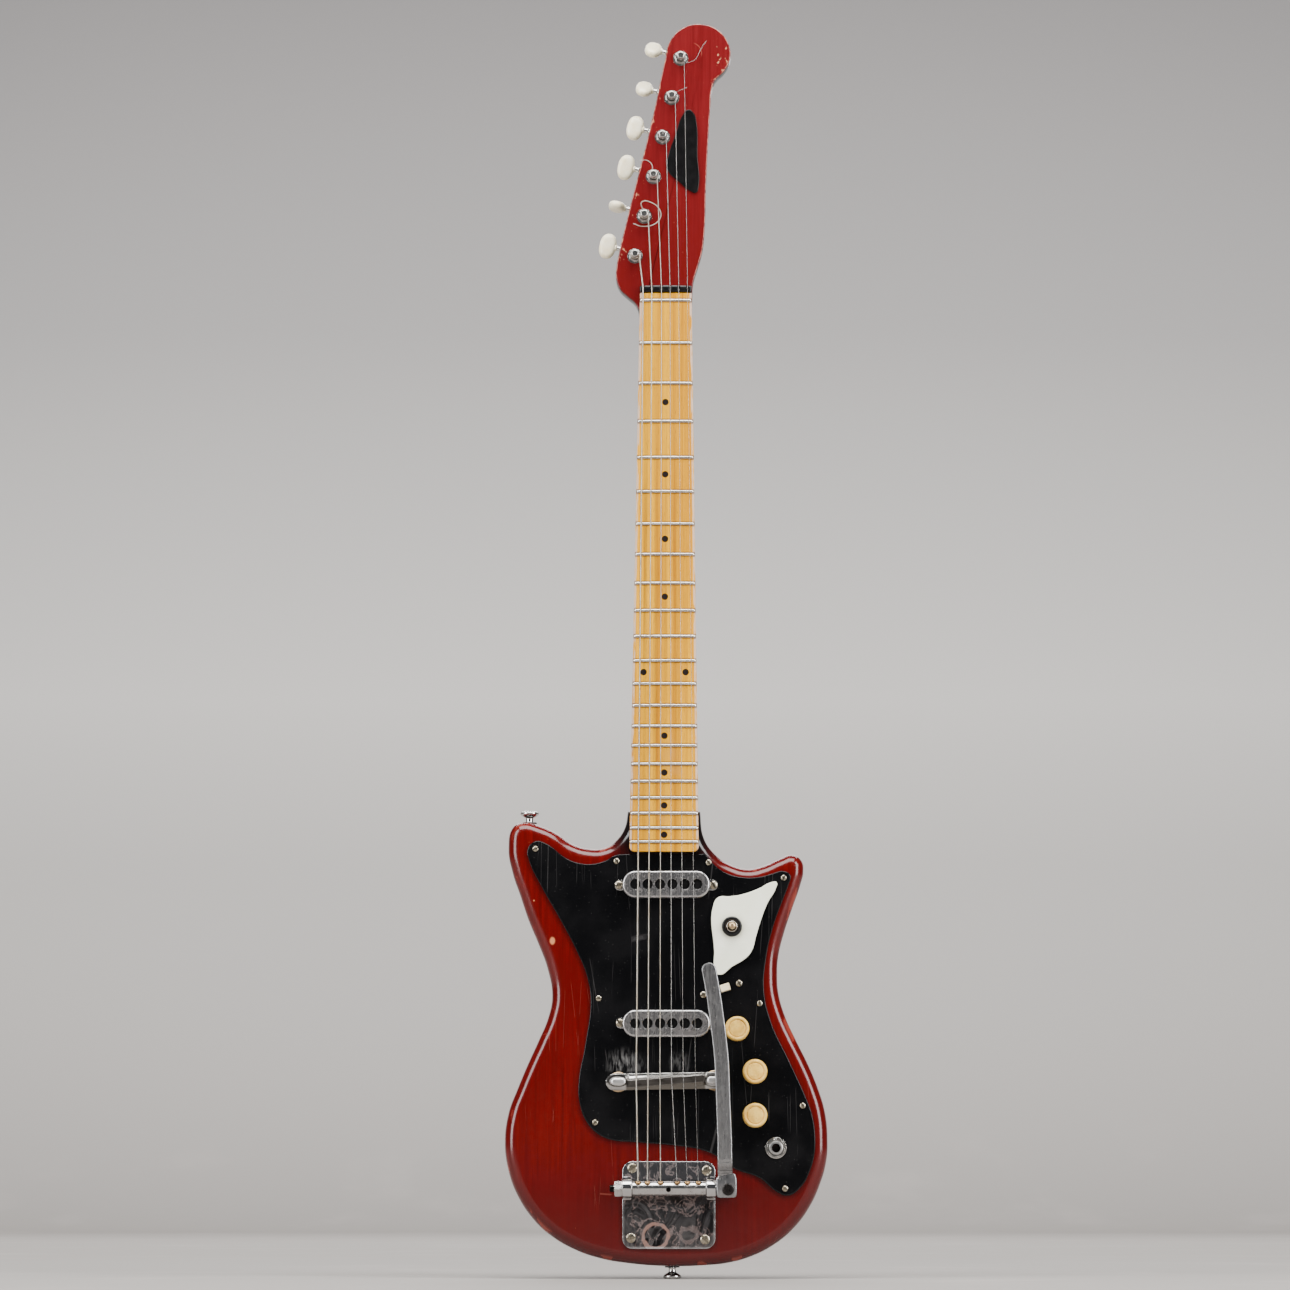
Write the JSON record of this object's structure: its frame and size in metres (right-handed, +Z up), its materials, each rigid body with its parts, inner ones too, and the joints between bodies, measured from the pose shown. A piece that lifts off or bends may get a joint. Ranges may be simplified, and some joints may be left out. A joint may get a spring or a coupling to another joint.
{
  "type": "electric guitar",
  "caption": "Short-scale solid-body electric guitar with double-cutaway body, bolt-on neck, single-sided headstock, two slim pickups, switches, knobs and a bar vibrato with arm.",
  "frame": {"origin": "bottom centre of the bounding box, level with the flat end of the lower strap button", "axes": "+Z up the neck, front faces -Y, +X towards the high strings, X = 0 on the strings' centre line"},
  "size_m": [0.243, 0.0676, 0.965],
  "materials": {
    "red_lacquer": "glossy cherry red lacquer over wood, darker around the neck",
    "black_lacquer": "glossy black lacquer over wood, red on the headstock face",
    "board_wood": "golden lacquered hardwood with dark streaks, nickel frets and black dots",
    "black_plastic": "glossy black plastic, lightly scuffed",
    "ivory_plastic": "ivory white plastic",
    "cream_plastic": "aged cream plastic",
    "chrome": "worn chrome with brownish tarnish",
    "nickel": "worn nickel plate",
    "steel": "plain steel",
    "brass": "dull brass"
  },
  "bodies": {
    "guitar": {"body": "red_lacquer", "neck": "black_lacquer", "fingerboard": "board_wood", "string_guide": "black_plastic", "truss_rod": "steel", "head_badge": "black_plastic", "neck_plate": "chrome", "neck_screw_1": "steel", "neck_screw_2": "steel", "neck_screw_3": "steel", "neck_screw_4": "steel", "pickguard": "black_plastic", "corner_plate": "ivory_plastic", "pickup_cover_neck": "chrome", "pickup_cover_bridge": "chrome", "pickup_coil_neck": "black_plastic", "pickup_coil_bridge": "black_plastic", "pot_1": "steel", "pot_2": "steel", "pot_3": "steel", "slide_switch_body": "steel", "toggle_body": "black_plastic", "jack": "steel", "jack_nut": "nickel", "bridge_bar": "nickel", "bridge_foot_bass": "brass", "bridge_foot_treble": "brass", "vibrato_plate": "chrome", "vibrato_spring": "steel", "string_1": "steel", "string_2": "steel", "string_3": "steel", "string_4": "nickel", "string_5": "nickel", "string_6": "nickel", "tuner_plate": "nickel", "strap_button_lower": "chrome", "strap_button_upper": "chrome"},
    "vibrato": {"vibrato_bar": "chrome", "axle_nut": "chrome", "arm_hub": "chrome", "arm_screw": "steel"},
    "arm": {"vibrato_arm": "chrome"},
    "slide_switch": {"slide_switch_cap": "cream_plastic"},
    "toggle": {"toggle_lever": "nickel"},
    "knob_1": {"knob_1": "cream_plastic"},
    "knob_2": {"knob_2": "cream_plastic"},
    "knob_3": {"knob_3": "cream_plastic"},
    "post_1": {"tuner_post_1": "nickel"},
    "button_1": {"tuner_button_1": "cream_plastic"},
    "post_2": {"tuner_post_2": "nickel"},
    "button_2": {"tuner_button_2": "cream_plastic"},
    "post_3": {"tuner_post_3": "nickel"},
    "button_3": {"tuner_button_3": "cream_plastic"},
    "post_4": {"tuner_post_4": "nickel"},
    "button_4": {"tuner_button_4": "cream_plastic"},
    "post_5": {"tuner_post_5": "nickel"},
    "button_5": {"tuner_button_5": "cream_plastic"},
    "post_6": {"tuner_post_6": "nickel"},
    "button_6": {"tuner_button_6": "cream_plastic"}
  },
  "joints": [
    {"name": "vibrato_rock", "type": "hinge", "parent": "guitar", "child": "vibrato", "pos_m": [0, -0.0144, 0.0674], "axis": [1, 0, 0], "range_deg": [-3.5, 1.5], "stiffness_Nm_per_rad": 3, "deforming": ["string_1", "string_2", "string_3", "string_4", "string_5", "string_6", "vibrato_spring"]},
    {"name": "arm_swing", "type": "hinge", "parent": "vibrato", "child": "arm", "pos_m": [0.046, -0.0216, 0.0665], "axis": [0, -1, 0], "range_deg": [-100, 30]},
    {"name": "knob_1_turn", "type": "hinge", "parent": "guitar", "child": "knob_1", "pos_m": [0.0532, -0.0108, 0.1865], "axis": [0, -1, 0], "range_deg": [-240, 40]},
    {"name": "knob_2_turn", "type": "hinge", "parent": "guitar", "child": "knob_2", "pos_m": [0.0666, -0.0108, 0.1544], "axis": [0, -1, 0], "range_deg": [-240, 40]},
    {"name": "knob_3_turn", "type": "hinge", "parent": "guitar", "child": "knob_3", "pos_m": [0.0665, -0.0108, 0.1217], "axis": [0, -1, 0], "range_deg": [-240, 40]},
    {"name": "slide_switch_travel", "type": "slide", "parent": "guitar", "child": "slide_switch", "axis": [0.9537, 0, 0.3007], "range_m": [-0.006, 0]},
    {"name": "toggle_flip", "type": "hinge", "parent": "guitar", "child": "toggle", "pos_m": [0.0496, -0.0058, 0.2635], "axis": [1, 0, 0], "range_deg": [-11, 11]},
    {"name": "post_1_turn", "type": "hinge", "parent": "guitar", "child": "post_1", "pos_m": [0.0117, 0.0096, 0.9373], "axis": [0, -1, 0], "continuous": true},
    {"name": "button_1_turn", "type": "hinge", "parent": "guitar", "child": "button_1", "pos_m": [0.01324, 0.0096, 0.94413], "axis": [-0.9754, 0, 0.2205], "continuous": true},
    {"name": "post_2_turn", "type": "hinge", "parent": "guitar", "child": "post_2", "pos_m": [0.00462, 0.0096, 0.90598], "axis": [0, -1, 0], "continuous": true},
    {"name": "button_2_turn", "type": "hinge", "parent": "guitar", "child": "button_2", "pos_m": [0.00616, 0.0096, 0.91281], "axis": [-0.9754, 0, 0.2205], "continuous": true},
    {"name": "post_3_turn", "type": "hinge", "parent": "guitar", "child": "post_3", "pos_m": [-0.00246, 0.0096, 0.87466], "axis": [0, -1, 0], "continuous": true},
    {"name": "button_3_turn", "type": "hinge", "parent": "guitar", "child": "button_3", "pos_m": [-0.00092, 0.0096, 0.88149], "axis": [-0.9754, 0, 0.2205], "continuous": true},
    {"name": "post_4_turn", "type": "hinge", "parent": "guitar", "child": "post_4", "pos_m": [-0.00954, 0.0096, 0.84334], "axis": [0, -1, 0], "continuous": true},
    {"name": "button_4_turn", "type": "hinge", "parent": "guitar", "child": "button_4", "pos_m": [-0.008, 0.0096, 0.85017], "axis": [-0.9754, 0, 0.2205], "continuous": true},
    {"name": "post_5_turn", "type": "hinge", "parent": "guitar", "child": "post_5", "pos_m": [-0.01662, 0.0096, 0.81202], "axis": [0, -1, 0], "continuous": true},
    {"name": "button_5_turn", "type": "hinge", "parent": "guitar", "child": "button_5", "pos_m": [-0.01508, 0.0096, 0.81885], "axis": [-0.9754, 0, 0.2205], "continuous": true},
    {"name": "post_6_turn", "type": "hinge", "parent": "guitar", "child": "post_6", "pos_m": [-0.0237, 0.0096, 0.7807], "axis": [0, -1, 0], "continuous": true},
    {"name": "button_6_turn", "type": "hinge", "parent": "guitar", "child": "button_6", "pos_m": [-0.02216, 0.0096, 0.78753], "axis": [-0.9754, 0, 0.2205], "continuous": true}
  ],
  "couplings": [
    {"joint": "post_1_turn", "follows": "button_1_turn", "ratio": -0.071429},
    {"joint": "post_2_turn", "follows": "button_2_turn", "ratio": -0.071429},
    {"joint": "post_3_turn", "follows": "button_3_turn", "ratio": -0.071429},
    {"joint": "post_4_turn", "follows": "button_4_turn", "ratio": -0.071429},
    {"joint": "post_5_turn", "follows": "button_5_turn", "ratio": -0.071429},
    {"joint": "post_6_turn", "follows": "button_6_turn", "ratio": -0.071429}
  ]
}
